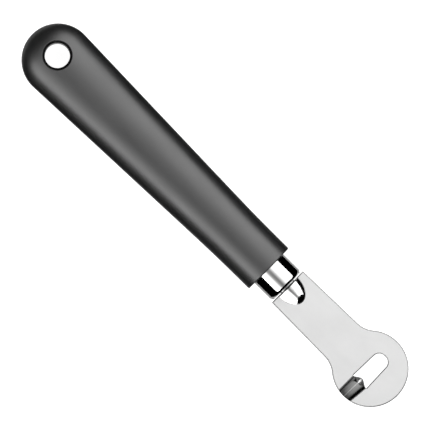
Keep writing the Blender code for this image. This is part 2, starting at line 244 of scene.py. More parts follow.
# Light round the tent: degrees from overhead towards +Y, and brightness
TENT_LEVELS = (
    (-64, 3.0),
    (-48, 2.6),
    (-38, 1.7),
    (-30, 1.2),
    (-22, 0.75),
    (-8, 0.95),
    (5, 1.2),
    (22, 1.6),
    (40, 2.0),
    (67, 2.3),
)


# Mesh helpers

def skin_rings(rings, start_pole=None, end_pole=None, looped=False):
    """A closed mesh through rings of the same number of points, ended by a point or by a flat cap."""
    mesh = bmesh.new()
    loops = [[mesh.verts.new(point) for point in ring] for ring in rings]
    pairs = list(zip(loops, loops[1:]))
    if looped:
        pairs.append((loops[-1], loops[0]))
    for low, high in pairs:
        count = len(low)
        for k in range(count):
            after = (k + 1) % count
            mesh.faces.new((low[k], low[after], high[after], high[k]))
    if not looped:
        close_end(mesh, loops[0], start_pole)
        close_end(mesh, loops[-1], end_pole)
    bmesh.ops.recalc_face_normals(mesh, faces=mesh.faces)
    return mesh


def close_end(mesh, loop, pole):
    """Closes a loop with one flat face, or with triangles that meet at the pole."""
    if pole is None:
        mesh.faces.new(loop)
        return
    centre = mesh.verts.new(pole)
    for k in range(len(loop)):
        mesh.faces.new((loop[k], loop[(k + 1) % len(loop)], centre))


def prism(outline, low_z, high_z):
    """A solid with an outline in X and Y, between two heights."""
    return skin_rings([[(x, y, z) for x, y in outline] for z in (low_z, high_z)])


def ellipse_ring(x, half_width, rise, segments):
    """A ring of points on an ellipse round the tool's axis."""
    turns = [2 * math.pi * k / segments for k in range(segments)]
    return [(x, half_width * math.cos(t), AXIS_Z + rise * math.sin(t)) for t in turns]


def circle_ring(x, radius, segments):
    """A ring of points on a circle round the tool's axis."""
    return ellipse_ring(x, radius, radius, segments)


def nose_rings(length, half_width, rise, steps, segments):
    """Rings round the axis, from the blade's rear edge to near the front point of a rounded nose."""
    rings = []
    for k in range(steps):
        turn = math.pi / 2 * k / steps
        x = BLADE_REAR_X + length * math.sin(turn)
        shrink = math.cos(turn)
        rings.append(ellipse_ring(x, half_width * shrink, rise * shrink, segments))
    return rings


def arc(centre_x, centre_y, radius, start, end, steps):
    """Points along a circular arc in X and Y, both ends included. Angles are in degrees."""
    angles = [math.radians(start + (end - start) * k / steps) for k in range(steps + 1)]
    return [(centre_x + radius * math.cos(a), centre_y + radius * math.sin(a)) for a in angles]


def bend_path(bends, first_turn=0.0):
    """Run, drop and turn at points along arcs, each a radius and an end angle, that start off level."""
    path = []
    run = drop = start = 0.0
    for radius, end in bends:
        first = max(start, first_turn)
        for k in range(1 if path else 0, BEND_STEPS + 1):
            turn = first + (end - first) * k / BEND_STEPS
            along = radius * (math.sin(turn) - math.sin(start))
            path.append((run + along, drop + radius * (math.cos(start) - math.cos(turn)), turn))
        run += radius * (math.sin(end) - math.sin(start))
        drop += radius * (math.cos(start) - math.cos(end))
        start = end
    return path


def signed_power(value, exponent):
    """The value's size raised to the exponent, with the value's sign."""
    return math.copysign(abs(value) ** exponent, value)


def make_piece(name, mesh, materials):
    """An object of the mesh with its materials, in its slots' order."""
    data = bpy.data.meshes.new(name)
    mesh.to_mesh(data)
    mesh.free()
    for material in materials:
        data.materials.append(material)
    piece = bpy.data.objects.new(name, data)
    bpy.context.scene.collection.objects.link(piece)
    return piece


def combine(piece, operation, mesh, material_index=0):
    """Joins, cuts or trims the piece with the mesh, whose faces bring the given material slot."""
    for face in mesh.faces:
        face.material_index = material_index
    tool = make_piece(piece.name + "_tool", mesh, piece.data.materials)
    modifier = piece.modifiers.new("cut", "BOOLEAN")
    modifier.operation = operation
    modifier.solver = "EXACT"
    modifier.object = tool
    apply_modifiers(piece)
    bpy.data.objects.remove(tool, do_unlink=True)


def apply_modifiers(piece):
    """Replaces the piece's mesh with the mesh that its modifiers make."""
    bpy.context.view_layer.update()
    graph = bpy.context.evaluated_depsgraph_get()
    data = bpy.data.meshes.new_from_object(piece.evaluated_get(graph))
    piece.modifiers.clear()
    piece.data = data


def weld(piece):
    """Welds the points that the Booleans left on top of each other."""
    mesh = bmesh.new()
    mesh.from_mesh(piece.data)
    bmesh.ops.remove_doubles(mesh, verts=mesh.verts, dist=WELD_DISTANCE)
    bmesh.ops.dissolve_degenerate(mesh, edges=mesh.edges, dist=WELD_DISTANCE)
    mesh.to_mesh(piece.data)
    mesh.free()


def finish_piece(piece, node):
    """Shades the piece, level faces flat, and lets it stand for its node of the model."""
    piece.data.shade_smooth()
    piece.data.set_sharp_from_angle(angle=SHARP_EDGE)
    for face in piece.data.polygons:
        face.use_smooth = abs(face.normal.z) < LEVEL_NORMAL
    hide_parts(node)
    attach(piece, "root")


# Handle

def handle_half_width(x):
    """Half the handle's width ahead of its round end: a taper that levels out towards the front."""
    run = HANDLE_LEVEL_X - x
    return HANDLE_FRONT_HALF_WIDTH + HANDLE_TAPER * (run + math.hypot(run, HANDLE_LEVEL_BLEND)) / 2


def handle_size(x):
    """Half the handle's width and half its height at x, round end included."""
    width = handle_half_width(max(x, HANDLE_END_X))
    past_end = max(0.0, HANDLE_END_X - x) / HANDLE_END_RADIUS
    shrink = math.sqrt(max(0.0, 1.0 - past_end ** 2))
    return width * shrink, HANDLE_HALF_HEIGHT * shrink


def handle_rise(x, y):
    """Height of the handle's upper surface above the axis."""
    half_width, half_height = handle_size(x)
    inside = 1.0 - abs(y / half_width) ** HANDLE_OVAL_POWER
    return half_height * inside ** (1 / HANDLE_OVAL_POWER)


def oval_ring(x, half_width, half_height):
    """A ring of points on the handle's oval section."""
    ring = []
    for k in range(HANDLE_SEGMENTS):
        turn = 2 * math.pi * k / HANDLE_SEGMENTS
        across = signed_power(math.cos(turn), 2 / HANDLE_OVAL_POWER)
        up = signed_power(math.sin(turn), 2 / HANDLE_OVAL_POWER)
        ring.append((x, half_width * across, AXIS_Z + half_height * up))
    return ring


def handle_mesh():
    """Round end, tapered oval body, rounded front edge, spigot and blind bore, in one skin."""
    rings = []
    for k in range(1, HANDLE_END_STEPS):
        x = HANDLE_END_X - HANDLE_END_RADIUS * math.cos(math.pi / 2 * k / HANDLE_END_STEPS)
        rings.append(oval_ring(x, *handle_size(x)))
    edge_x = HANDLE_FRONT_X - HANDLE_FRONT_EDGE
    for k in range(HANDLE_BODY_STEPS + 1):
        x = HANDLE_END_X + (edge_x - HANDLE_END_X) * k / HANDLE_BODY_STEPS
        rings.append(oval_ring(x, *handle_size(x)))
    for k in range(1, HANDLE_EDGE_STEPS + 1):
        turn = math.pi / 2 * k / HANDLE_EDGE_STEPS
        inset = HANDLE_FRONT_EDGE * (1 - math.cos(turn))
        half_width, half_height = handle_size(edge_x)
        x = edge_x + HANDLE_FRONT_EDGE * math.sin(turn)
        rings.append(oval_ring(x, half_width - inset, half_height - inset))
    for x, radius in (
        (HANDLE_FRONT_X, SPIGOT_RADIUS),
        (SPIGOT_FRONT_X, SPIGOT_RADIUS),
        (SPIGOT_FRONT_X, BORE_RADIUS),
        (SHANK_LOW.x - CLEARANCE, BORE_RADIUS),
    ):
        rings.append(circle_ring(x, radius, HANDLE_SEGMENTS))
    return skin_rings(rings, start_pole=(REAR_X, 0.0, AXIS_Z))


def hang_hole_mesh():
    """Cutter for the hanging hole, whose mouths are flared along the handle's crown."""
    path = bend_path(HANG_HOLE_BENDS, MOUTH_START)
    whole_run = path[-1][0]
    profile = [(HANG_HOLE_RADIUS + whole_run - run, -drop) for run, drop, _ in path]
    first_out, first_up = profile[0]
    profile.insert(0, (first_out + MOUTH_RUN, first_up + MOUTH_RUN * math.tan(MOUTH_START)))
    rings = []
    for side, steps in ((1, profile), (-1, profile[::-1])):
        for radius, offset in steps:
            circle = arc(HANG_HOLE_X, HANG_HOLE_Y, radius, 0, 360, HANG_HOLE_SEGMENTS)[:-1]
            rings.append([(x, y, AXIS_Z + side * (handle_rise(x, y) + offset)) for x, y in circle])
    pole_rise = HANDLE_HALF_HEIGHT + REACH
    return skin_rings(
        rings,
        start_pole=(HANG_HOLE_X, HANG_HOLE_Y, AXIS_Z + pole_rise),
        end_pole=(HANG_HOLE_X, HANG_HOLE_Y, AXIS_Z - pole_rise),
    )


def build_handle():
    """The grip, with its hanging hole cut through."""
    handle = make_piece("handle_grip", handle_mesh(), [make_polymer(), make_hole_wall()])
    combine(handle, "DIFFERENCE", hang_hole_mesh(), HOLE_WALL)
    finish_piece(handle, "handle")


# Ferrule and shank

def build_ferrule():
    """A drawn cup: trimmed rear edge, thin wall, chamfered front rim and a hole for the shank."""
    inner = FERRULE_RADIUS - FERRULE_WALL
    rear_x = FERRULE_LOW.x
    front_x = FERRULE_HIGH.x
    edge = FERRULE_REAR_RADIUS
    profile = arc(rear_x + edge, FERRULE_RADIUS - edge, edge, 180, 90, SHEET_EDGE_STEPS)
    rim = bend_path(FERRULE_RIM_BENDS)
    whole_run = rim[-1][0]
    profile += [(front_x - whole_run + run, FERRULE_RADIUS - drop) for run, drop, _ in rim]
    profile += arc(front_x - edge, BORE_RADIUS + edge, edge, 0, -90, SHEET_EDGE_STEPS)
    profile += [
        (front_x - FERRULE_WALL, BORE_RADIUS),
        (front_x - FERRULE_WALL, inner),
        (rear_x, inner),
    ]
    rings = [circle_ring(x, radius, FERRULE_SEGMENTS) for x, radius in profile]
    ferrule = make_piece("ferrule_collar", skin_rings(rings, looped=True), [make_polished()])
    finish_piece(ferrule, "ferrule")


def shank_rise(x):
    """Half the shank's height at x: round behind, eased down to the forged nose."""
    share = (x - SHANK_FORGED_X) / (FERRULE_HIGH.x - CLEARANCE - SHANK_FORGED_X)
    eased = share * share * (3 - 2 * share)
    return SHANK_RADIUS + (SHANK_NOSE_RISE - SHANK_RADIUS) * eased


def build_shank():
    """A round rod with a flatter nose, ground level with the blade's underside."""
    forged_length = FERRULE_HIGH.x - CLEARANCE - SHANK_FORGED_X
    nose_length = SHANK_HIGH.x - BLADE_REAR_X
    rings = [
        circle_ring(SHANK_LOW.x, SHANK_RADIUS - SHANK_CHAMFER, SHANK_SEGMENTS),
        circle_ring(SHANK_LOW.x + SHANK_CHAMFER, SHANK_RADIUS, SHANK_SEGMENTS),
    ]
    for k in range(SHANK_FORGED_STEPS + 1):
        x = SHANK_FORGED_X + forged_length * k / SHANK_FORGED_STEPS
        rings.append(ellipse_ring(x, SHANK_RADIUS, shank_rise(x), SHANK_SEGMENTS))
    rings += nose_rings(nose_length, SHANK_RADIUS, SHANK_NOSE_RISE, SHANK_NOSE_STEPS, SHANK_SEGMENTS)
    mesh = skin_rings(rings, end_pole=(SHANK_HIGH.x, 0.0, AXIS_Z))
    shank = make_piece("shank_rod", mesh, [make_drawn()])
    flat_start = FERRULE_HIGH.x - CLEARANCE
    flat_end = SHANK_HIGH.x + REACH
    side = SHANK_RADIUS + REACH
    outline = [(flat_start, -side), (flat_end, -side), (flat_end, side), (flat_start, side)]
    combine(shank, "DIFFERENCE", prism(outline, AXIS_Z - side, SHEET_BOTTOM_Z))
    finish_piece(shank, "shank")


# Blade

def neck_fillet_centre():
    """Centre of the arc that runs from the neck's side into the head, and the neck side's angle."""
    slope = math.atan2(NECK_FRONT_HALF_WIDTH - NECK_REAR_HALF_WIDTH, NECK_FRONT_X - BLADE_REAR_X)
    reach = HEAD_RADIUS + NECK_FILLET_RADIUS
    side_y = NECK_REAR_HALF_WIDTH + (HEAD_X - BLADE_REAR_X) * math.tan(slope)
    from_side = side_y * math.cos(slope) + NECK_FILLET_RADIUS
    back = math.sqrt(reach ** 2 - from_side ** 2)
    x = HEAD_X - back * math.cos(slope) - from_side * math.sin(slope)
    y = from_side * math.cos(slope) - back * math.sin(slope)
    return x, y, math.degrees(slope)


def blade_outline(inset):
    """The stamping's outline, moved inwards by the inset: neck, fillets and round head."""
    fillet_x, fillet_y, slope = neck_fillet_centre()
    meeting = math.degrees(math.atan2(-fillet_y, HEAD_X - fillet_x))
    head_start = 180.0 + meeting
    fillet_radius = NECK_FILLET_RADIUS + inset
    upper = arc(fillet_x, fillet_y, fillet_radius, slope - 90, meeting, NECK_FILLET_STEPS)
    head = arc(HEAD_X, 0.0, HEAD_RADIUS - inset, head_start, -head_start, HEAD_SEGMENTS)[1:-1]
    lower = [(x, -y) for x, y in reversed(upper)]
    rear_x = BLADE_REAR_X + inset
    rear_y = NECK_REAR_HALF_WIDTH - inset
    return upper + head + lower + [(rear_x, -rear_y), (rear_x, rear_y)]


def sheet_mesh():
    """The flat stamping with slightly rounded edges."""
    rings = []
    for face_z, inwards in ((SHEET_BOTTOM_Z, 1), (SHEET_TOP_Z, -1)):
        steps = range(SHEET_EDGE_STEPS + 1)
        for k in steps if inwards > 0 else reversed(steps):
            turn = math.pi / 2 * k / SHEET_EDGE_STEPS
            z = face_z + inwards * SHEET_EDGE_RADIUS * (1 - math.cos(turn))
            outline = blade_outline(SHEET_EDGE_RADIUS * (1 - math.sin(turn)))
            rings.append([(x, y, z) for x, y in outline])
    mesh = skin_rings(rings)
    for face in mesh.faces:
        face.material_index = PLATE if len(face.verts) > 4 else CUT_EDGE
    return mesh


def lip_y(z):
    """Where the gouge's raked end lies at a height: its deepest part reaches furthest into the slot."""
    return GOUGE_LIP_Y + (SHEET_BOTTOM_Z - z) * math.tan(GOUGE_LIP_RAKE)


def slot_ring(z, grow, end_y):
    """The slot's outline at a height, grown outwards everywhere but at the lip."""
    corner_x = SLOT_END_HALF_WIDTH - SLOT_CORNER_RADIUS
    corner_y = SLOT_END_Y - SLOT_CORNER_RADIUS
    radius = SLOT_CORNER_RADIUS + grow
    half_width = SLOT_LIP_HALF_WIDTH + grow
    outline = arc(SLOT_X + corner_x, corner_y, radius, 0, 90, SLOT_CORNER_STEPS)
    outline += arc(SLOT_X - corner_x, corner_y, radius, 90, 180, SLOT_CORNER_STEPS)
    outline += [(SLOT_X - half_width, end_y), (SLOT_X + half_width, end_y)]
    return [(x, y, z) for x, y in outline]


def mouth_flare(radius):
    """Steps that round the mouth of a hole or channel: depths inside the face, and growths outwards."""
    flare = []
    for k in range(SHEET_EDGE_STEPS + 1):
        turn = (math.pi / 2 - MOUTH_START) * k / SHEET_EDGE_STEPS
        flare.append((radius * (1 - math.sin(turn)), radius * (1 - math.cos(turn))))
    last_depth, last_grow = flare[-1]
    flare.append((last_depth - MOUTH_RUN * math.tan(MOUTH_START), last_grow + MOUTH_RUN))
    return flare


def slot_mesh():
    """Cutter for the slot, flared where it leaves the sheet's faces."""
    flare = mouth_flare(SHEET_EDGE_RADIUS)
    widest = flare[-1][1]
    rings = [slot_ring(0.0, widest, lip_y(0.0) + SLOT_LIP_GAP)]
    for depth, grow in reversed(flare):
        z = SHEET_BOTTOM_Z + depth
        rings.append(slot_ring(z, grow, max(GOUGE_LIP_Y, lip_y(z))))
    for depth, grow in flare:
        rings.append(slot_ring(SHEET_TOP_Z - depth, grow, GOUGE_LIP_Y))
    rings.append(slot_ring(2 * AXIS_Z, widest, GOUGE_LIP_Y))
    return skin_rings(rings)


def gouge_place(y):
    """The gouge's centre and half its width at the sheet's face, at y."""
    share = (GOUGE_LIP_Y - y) / (HEAD_RADIUS + GOUGE_LIP_Y)
    centre_x = GOUGE_LIP_X + share * (GOUGE_RIM_X - GOUGE_LIP_X)
    half_width = GOUGE_LIP_HALF_WIDTH + share * (GOUGE_RIM_HALF_WIDTH - GOUGE_LIP_HALF_WIDTH)
    return centre_x, half_width


def gouge_bottom(y, grow):
    """The rounded bottom of the V section at y as points (x, z), from right to left."""
    centre_x, half_width = gouge_place(y)
    point_z = SHEET_TOP_Z - half_width * math.tan(GOUGE_FLANK)
    arc_z = point_z + GOUGE_BOTTOM_RADIUS / math.cos(GOUGE_FLANK)
    radius = GOUGE_BOTTOM_RADIUS + grow
    bottom = []
    for k in range(GOUGE_ARC_STEPS + 1):
        turn = GOUGE_FLANK * (1 - 2 * k / GOUGE_ARC_STEPS)
        bottom.append((centre_x + radius * math.sin(turn), arc_z - radius * math.cos(turn)))
    return bottom


def gouge_section(y, grow, top_z):
    """Closed V section of the gouge at y, grown outwards and cut off level at top_z."""
    bottom = gouge_bottom(y, grow)
    flank_run = (top_z - bottom[0][1]) / math.tan(GOUGE_FLANK)
    return [(bottom[0][0] + flank_run, top_z), *bottom, (bottom[-1][0] - flank_run, top_z)]


def shoulder(centre_x, half_width, bends, side, grow):
    """Points from beside the gouge, over its rounded shoulder, down to the flank. Side is 1 at the right."""
    path = bend_path(bends, SHOULDER_START)
    whole_run, whole_drop, _ = path[-1]
    top_x = centre_x + side * (half_width - whole_drop / math.tan(GOUGE_FLANK) + whole_run)
    points = []
    for run, drop, turn in path:
        x = top_x - side * (run - grow * math.sin(turn))
        points.append((x, SHEET_TOP_Z - drop - grow * math.cos(turn)))
    first_x, first_z = points[0]
    run_z = first_z + MOUTH_RUN * math.tan(SHOULDER_START)
    run_x = first_x + side * MOUTH_RUN
    return [(run_x, SHEET_TOP_Z + REACH), (run_x, run_z), *points]


def channel_section(y, grow):
    """Section of the gouge's inside at y, grown outwards, with a rounded shoulder at each side."""
    centre_x, half_width = gouge_place(y)
    right = shoulder(centre_x, half_width, GOUGE_FRONT_BENDS, 1, grow)
    left = shoulder(centre_x, half_width, GOUGE_REAR_BENDS, -1, grow)
    return right + gouge_bottom(y, grow) + left[::-1]


def rim_ring(depth, grow):
    """Section of the gouge's inside, bent to follow the head's rim at a depth inside it."""
    radius = HEAD_RADIUS - GOUGE_RIM_SETBACK - depth
    section = channel_section(-HEAD_RADIUS, grow)
    return [(x, -math.sqrt(radius ** 2 - (x - HEAD_X) ** 2), z) for x, z in section]


def gouge_body_mesh():
    """The gouge's outside, solid, from its raked lip to past the rim."""
    rim_y = -HEAD_RADIUS - REACH
    rim = [(x, rim_y, z) for x, z in gouge_section(rim_y, GOUGE_WALL, AXIS_Z)]
    lip = [(x, lip_y(z), z) for x, z in gouge_section(GOUGE_LIP_Y, GOUGE_WALL, AXIS_Z)]
    return skin_rings([rim, lip])


def gouge_channel_mesh():
    """Cutter for the gouge's inside, whose shoulders run out along the slot."""
    flare = mouth_flare(GOUGE_RIM_ROUND)
    past_y = -HEAD_RADIUS - REACH
    rings = [[(x, past_y, z) for x, z in channel_section(-HEAD_RADIUS, flare[-1][1])]]
    rings += [rim_ring(depth, grow) for depth, grow in reversed(flare)]
    section = channel_section(GOUGE_LIP_Y, 0.0)
    for k in range(RUN_OUT_STEPS + 1):
        share = k / RUN_OUT_STEPS
        y = RUN_OUT_START_Y + share * (RUN_OUT_END_Y - RUN_OUT_START_Y)
        lift = RUN_OUT_LIFT * share * share * (3 - 2 * share)
        rings.append([(x, y, z + lift) for x, z in section])
    return skin_rings(rings)


def gouge_bevel_mesh():
    """Cutter for the ground bevel, which thins the wall to a narrow land at the lip."""
    top_z = SHEET_BOTTOM_Z + GOUGE_BEVEL_OVERLAP
    lean = math.tan(GOUGE_BEVEL_LEAN)
    inside = gouge_section(GOUGE_LIP_Y, -GOUGE_BEVEL_OVERLAP, top_z)
    outside = gouge_section(GOUGE_LIP_Y, GOUGE_WALL - GOUGE_EDGE_LAND, top_z)
    start_y = GOUGE_LIP_Y - GOUGE_BEVEL_OVERLAP
    start = [(x, start_y - (top_z - z) * lean, z) for x, z in inside]
    edge = [(x, lip_y(z), z) for x, z in outside]
    past = [(x, y + REACH, z) for x, y, z in edge]
    return skin_rings([start, edge, past])


def pocket_share(along, across):
    """Share of the pocket's height at a place in its outline: gentle on -Y, steep on +Y and in front."""
    reach = math.hypot(along, across)
    if reach == 0.0:
        return 1.0
    side = across / reach
    softness = (-side - POCKET_SOFT_FROM) / (POCKET_SOFT_TO - POCKET_SOFT_FROM)
    softness = min(max(softness, 0.0), 1.0)
    softness *= softness * (3 - 2 * softness)
    power = POCKET_FRONT_POWER + side ** 2 * (POCKET_SIDE_POWER - POCKET_FRONT_POWER)
    return max(0.0, 1.0 - reach ** power) ** (1.0 + softness * POCKET_SOFT_FOOT)


def pocket_section(x, drop):
    """Closed section of the pocket's outside at x, lowered by the drop."""
    along = (x - BLADE_REAR_X) / POCKET_LENGTH
    plan = math.sqrt(max(0.0, 1.0 - along ** 2))
    base_z = SHEET_TOP_Z - POCKET_SINK
    section = []
    for k in range(POCKET_SEGMENTS + 1):
        across = plan * math.sin(math.pi * (k / POCKET_SEGMENTS - 0.5))
        y = POCKET_HALF_WIDTH * across + POCKET_RIDGE_Y * (plan ** 2 - across ** 2)
        section.append((x, y, base_z + POCKET_HEIGHT * pocket_share(along, across) - drop))
    half_width = POCKET_HALF_WIDTH * plan
    low_z = base_z - POCKET_ROOT
    return section + [(x, half_width, low_z), (x, -half_width, low_z)]


def pocket_body_mesh():
    """The outside of the pocket, with a rounded lip at its rear opening."""
    sections = []
    for k in range(POCKET_LIP_STEPS):
        turn = math.pi / 2 * k / POCKET_LIP_STEPS
        x = BLADE_REAR_X + POCKET_SETBACK + POCKET_LIP_RADIUS * (1 - math.cos(turn))
        sections.append(pocket_section(x, POCKET_LIP_RADIUS * (1 - math.sin(turn))))
    lip_turn = math.asin(POCKET_LIP_RADIUS / POCKET_LENGTH)
    for k in range(POCKET_STEPS):
        turn = lip_turn + (math.pi / 2 - lip_turn) * k / POCKET_STEPS
        sections.append(pocket_section(BLADE_REAR_X + POCKET_LENGTH * math.sin(turn), 0.0))
    apex = (BLADE_REAR_X + POCKET_LENGTH, 0.0, SHEET_TOP_Z - POCKET_SINK)
    return skin_rings(sections, end_pole=apex)


def pocket_hollow_mesh():
    """Cutter for the space that the shank's nose fills, through to the blade's underside."""
    size = (POCKET_INNER_RADIUS, POCKET_INNER_RISE)
    rings = [ellipse_ring(BLADE_REAR_X - REACH, *size, POCKET_SEGMENTS)]
    rings += nose_rings(POCKET_INNER_LENGTH, *size, POCKET_STEPS, POCKET_SEGMENTS)[1:]
    return skin_rings(rings, end_pole=(BLADE_REAR_X + POCKET_INNER_LENGTH, 0.0, AXIS_Z))


def build_blade():
    """The plate and the raised pocket, then the gouge. Each cut follows the piece that it cuts into."""
    materials = [make_satin(), make_cut_edge(), make_groove(), make_bevel(), make_pocket()]
    gouge = make_piece("gouge", gouge_body_mesh(), materials)
    rim = arc(HEAD_X, 0.0, HEAD_RADIUS - GOUGE_RIM_SETBACK, 0, 360, GOUGE_RIM_SEGMENTS)[:-1]
    combine(gouge, "INTERSECT", prism(rim, -REACH, 2 * AXIS_Z), CUT_EDGE)
    blade = make_piece("blade_plate", sheet_mesh(), materials)
    gouge_solid = bmesh.new()
    gouge_solid.from_mesh(gouge.data)
    bpy.data.objects.remove(gouge, do_unlink=True)
    combine(blade, "UNION", pocket_body_mesh(), POCKET)
    combine(blade, "DIFFERENCE", pocket_hollow_mesh(), POCKET)
    combine(blade, "UNION", gouge_solid, PLATE)
    combine(blade, "DIFFERENCE", slot_mesh(), CUT_EDGE)
    combine(blade, "DIFFERENCE", gouge_channel_mesh(), GROOVE)
    combine(blade, "DIFFERENCE", gouge_bevel_mesh(), BEVEL)
    weld(blade)
    finish_piece(blade, "blade")


# Materials

def new_material(name, color, roughness, metallic):
    """A Principled material, with the tools to add nodes to it."""
    material = bpy.data.materials.new(name)
    material.use_nodes = True
    shader = material.node_tree.nodes["Principled BSDF"]
    shader.inputs["Base Color"].default_value = (*color, 1.0)
    shader.inputs["Roughness"].default_value = roughness
    shader.inputs["Metallic"].default_value = metallic
    return material, material.node_tree, shader


def noise(tree, stretch, detail=2.0):
    """Noise in the object's own coordinates, with a separate frequency, per metre, along each axis."""
    nodes = tree.nodes
    place = nodes.new("ShaderNodeTexCoord")
    mapping = nodes.new("ShaderNodeMapping")
    mapping.inputs["Scale"].default_value = stretch
    texture = nodes.new("ShaderNodeTexNoise")
    texture.inputs["Scale"].default_value = 1.0
    texture.inputs["Detail"].default_value = detail
    tree.links.new(place.outputs["Object"], mapping.inputs["Vector"])
    tree.links.new(mapping.outputs["Vector"], texture.inputs["Vector"])
    return texture.outputs["Fac"]


def remap(tree, value, low, high, from_low=0.3, from_high=0.7, way="LINEAR"):
    """The value, spread between two levels."""
    node = tree.nodes.new("ShaderNodeMapRange")
    node.interpolation_type = way
    node.inputs["From Min"].default_value = from_low
    node.inputs["From Max"].default_value = from_high
    node.inputs["To Min"].default_value = low
    node.inputs["To Max"].default_value = high
    tree.links.new(value, node.inputs["Value"])
    return node.outputs["Result"]


def calculate(tree, operation, first, second):
    """One operation of arithmetic between two node outputs or plain numbers."""
    node = tree.nodes.new("ShaderNodeMath")
    node.operation = operation
    for socket, value in zip(node.inputs, (first, second)):
        if isinstance(value, (int, float)):
            socket.default_value = value
        else:
            tree.links.new(value, socket)
    return node.outputs["Value"]


def vary_roughness(tree, shader, value, low, high):
    """Spreads the roughness between two levels."""
    tree.links.new(remap(tree, value, low, high), shader.inputs["Roughness"])


def vary_color(tree, shader, value, dark, light):
    """Blends the base colour between two greys."""
    mix = tree.nodes.new("ShaderNodeMix")
    mix.data_type = "RGBA"
    mix.inputs["A"].default_value = (*dark, 1.0)
    mix.inputs["B"].default_value = (*light, 1.0)
    tree.links.new(remap(tree, value, 0.0, 1.0), mix.inputs["Factor"])
    tree.links.new(mix.outputs["Result"], shader.inputs["Base Color"])


def add_bump(tree, shader, height, strength, depth):
    """Adds the height to the surface's bump, over any bump that it has already."""
    bump = tree.nodes.new("ShaderNodeBump")
    bump.inputs["Strength"].default_value = strength
    bump.inputs["Distance"].default_value = depth
    tree.links.new(height, bump.inputs["Height"])
    normal = shader.inputs["Normal"]
    if normal.is_linked:
        tree.links.new(normal.links[0].from_socket, bump.inputs["Normal"])
    tree.links.new(bump.outputs["Normal"], normal)


def make_polymer():
    """Black moulded polypropylene with a fine spark-eroded grain and faint flow marks."""
    material, tree, shader = new_material("moulded_polymer", (0.003, 0.003, 0.0031), 0.42, 0.0)
    shader.inputs["IOR"].default_value = 1.64
    shader.inputs["Specular IOR Level"].default_value = 1.0
    grain = noise(tree, (2800, 2800, 2800), 3.0)
    cloud = noise(tree, (90, 260, 260))
    vary_roughness(tree, shader, cloud, 0.38, 0.43)
    vary_color(tree, shader, grain, (0.002, 0.002, 0.0021), (0.005, 0.005, 0.0052))
    add_bump(tree, shader, cloud, 0.3, 0.03 * MM)
    add_bump(tree, shader, grain, 0.35, 0.012 * MM)
    return material


def make_hole_wall():
    """The hanging hole's wall: the same polymer, moulded smooth against a polished pin."""
    material, tree, shader = new_material("pin_moulded_polymer", (0.003, 0.003, 0.0031), 0.16, 0.0)
    shader.inputs["IOR"].default_value = 1.5
    drag = noise(tree, (2600, 2600, 300))
    vary_roughness(tree, shader, drag, 0.13, 0.2)
    add_bump(tree, shader, drag, 0.15, 0.004 * MM)
    return material


def make_polished():
    """Mirror-polished stainless steel with hair-fine turning marks round the axis."""
    material, tree, shader = new_material("mirror_steel", (0.82, 0.82, 0.815), 0.05, 1.0)
    turning = noise(tree, (14000, 60, 60))
    haze = noise(tree, (400, 900, 900), 3.0)
    vary_roughness(tree, shader, haze, 0.035, 0.075)
    add_bump(tree, shader, turning, 0.06, 0.002 * MM)
    return material


def make_drawn():
    """Drawn steel rod with lines along it."""
    material, tree, shader = new_material("drawn_rod", (0.56, 0.56, 0.555), 0.3, 1.0)
    lines = noise(tree, (120, 9000, 9000))
    vary_roughness(tree, shader, lines, 0.24, 0.38)
    add_bump(tree, shader, lines, 0.2, 0.008 * MM)
    return material


def make_satin():
    """Satin stainless sheet: a fine tumbled grain under faint brush lines along the tool."""
    material, tree, shader = new_material("satin_sheet", (0.84, 0.84, 0.838), 0.42, 1.0)
    grain = noise(tree, (2600, 2600, 2600), 3.0)
    lines = noise(tree, (350, 6500, 6500))
    cloud = noise(tree, (110, 160, 160), 3.0)
    vary_color(tree, shader, cloud, (0.82, 0.82, 0.818), (0.86, 0.86, 0.858))
    vary_roughness(tree, shader, grain, 0.38, 0.46)
    add_bump(tree, shader, lines, 0.12, 0.004 * MM)
    add_bump(tree, shader, grain, 0.5, 0.006 * MM)
    return material


def make_cut_edge():
    """The sheared and tumbled edge of the sheet, with marks across its thickness."""
    material, tree, shader = new_material("cut_edge", (0.36, 0.36, 0.358), 0.3, 1.0)
    marks = noise(tree, (5000, 5000, 500))
    vary_roughness(tree, shader, marks, 0.22, 0.38)
    add_bump(tree, shader, marks, 0.25, 0.006 * MM)
    return material


def make_groove():
    """The gouge's pressed and polished inside, with fine drag lines along it, its colour painted darker than
    the sheet's steel as painted shade in the channel.
    """
    # Painted shade: the same steel as the sheet, given a much darker colour for the shade inside the channel
    material, tree, shader = new_material("pressed_groove", (0.37, 0.37, 0.368), 0.14, 1.0)
    lines = noise(tree, (9000, 260, 9000))
    vary_roughness(tree, shader, lines, 0.08, 0.2)
    add_bump(tree, shader, lines, 0.3, 0.006 * MM)
    return material


def make_bevel():
    """The ground bevel round the cutting lip, with grinding lines down its slope."""
    material, tree, shader = new_material("ground_bevel", (0.54, 0.54, 0.537), 0.3, 1.0)
    lines = noise(tree, (7000, 700, 700))
    vary_roughness(tree, shader, lines, 0.24, 0.36)
    add_bump(tree, shader, lines, 0.3, 0.006 * MM)
    return material


